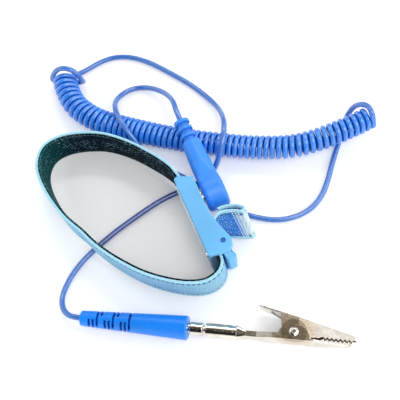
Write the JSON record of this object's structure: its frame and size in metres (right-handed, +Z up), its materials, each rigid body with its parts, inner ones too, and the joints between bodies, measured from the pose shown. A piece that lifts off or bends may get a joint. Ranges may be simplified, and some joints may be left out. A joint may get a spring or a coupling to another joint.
{
  "type": "esd wrist strap",
  "caption": "Grounding wrist strap: elastic band with a cam buckle, snap connector, curly cord, banana plug and spring clip.",
  "frame": {"origin": "middle of the buckle's lower side face, on the table that the strap lies on", "axes": "+X runs outward along the snap stud, +Y along the buckle towards the connector's cable end, +Z up, across the band"},
  "size_m": [0.1401, 0.1603, 0.019],
  "materials": {
    "weave": "woven elastic, matte",
    "lining": "conductive weave with metal flecks",
    "buckle_plastic": "moulded ABS, soft gloss",
    "connector_plastic": "moulded ABS, soft gloss",
    "plug_plastic": "moulded polypropylene, soft gloss",
    "cord_jacket": "extruded polyurethane, satin",
    "stainless": "brushed stainless steel",
    "nickel": "nickel plated brass",
    "spring_steel": "drawn spring steel",
    "clip_steel": "nickel plated sheet steel",
    "resistor_lacquer": "lacquered ceramic",
    "tinned_copper": "tinned copper wire"
  },
  "bodies": {
    "wristband": {"elastic_band": "weave", "conductive_lining": "lining", "buckle_body": "buckle_plastic", "contact_plate": "stainless", "lever_pin": "stainless", "snap_stud": "nickel"},
    "lever": {"cam_lever": "buckle_plastic"},
    "cord_set": {"connector_housing": "connector_plastic", "snap_socket": "nickel", "socket_spring": "spring_steel", "safety_resistor": "resistor_lacquer", "resistor_front_wire": "tinned_copper", "resistor_rear_wire": "tinned_copper", "strain_relief": "connector_plastic", "lead_to_connector": "cord_jacket", "curly_cord": "cord_jacket", "lead_to_plug": "cord_jacket", "plug_sleeve": "plug_plastic", "plug_pin": "nickel"},
    "cage": {"pin_spring_cage": "spring_steel"},
    "clip": {"clip_base_jaw": "clip_steel", "jaw_rivet": "nickel", "jaw_spring": "spring_steel"},
    "upper_jaw": {"clip_upper_jaw": "clip_steel"}
  },
  "joints": [
    {"name": "lever_open", "type": "hinge", "parent": "wristband", "child": "lever", "pos_m": [0.0035, -0.0137, 0.0095], "axis": [0, 0, 1], "range_deg": [0, 80]},
    {"name": "snap_pull", "type": "slide", "parent": "wristband", "child": "cord_set", "axis": [1, 0, 0], "range_m": [0, 0.004], "deforming": ["socket_spring"]},
    {"name": "clip_turn", "type": "hinge", "parent": "cord_set", "child": "cage", "pos_m": [-0.01216, -0.03863, 0.0045], "axis": [0.8643, -0.503, 0], "continuous": true},
    {"name": "clip_pull", "type": "slide", "parent": "cage", "child": "clip", "axis": [0.8643, -0.503, 0], "range_m": [0, 0.015]},
    {"name": "jaw_open", "type": "hinge", "parent": "clip", "child": "upper_jaw", "pos_m": [0.01287, -0.05169, 0.0045], "axis": [0, 0, 1], "range_deg": [0, 32], "stiffness_Nm_per_rad": 0.12, "springref_deg": -28.65, "deforming": ["jaw_spring"]}
  ]
}
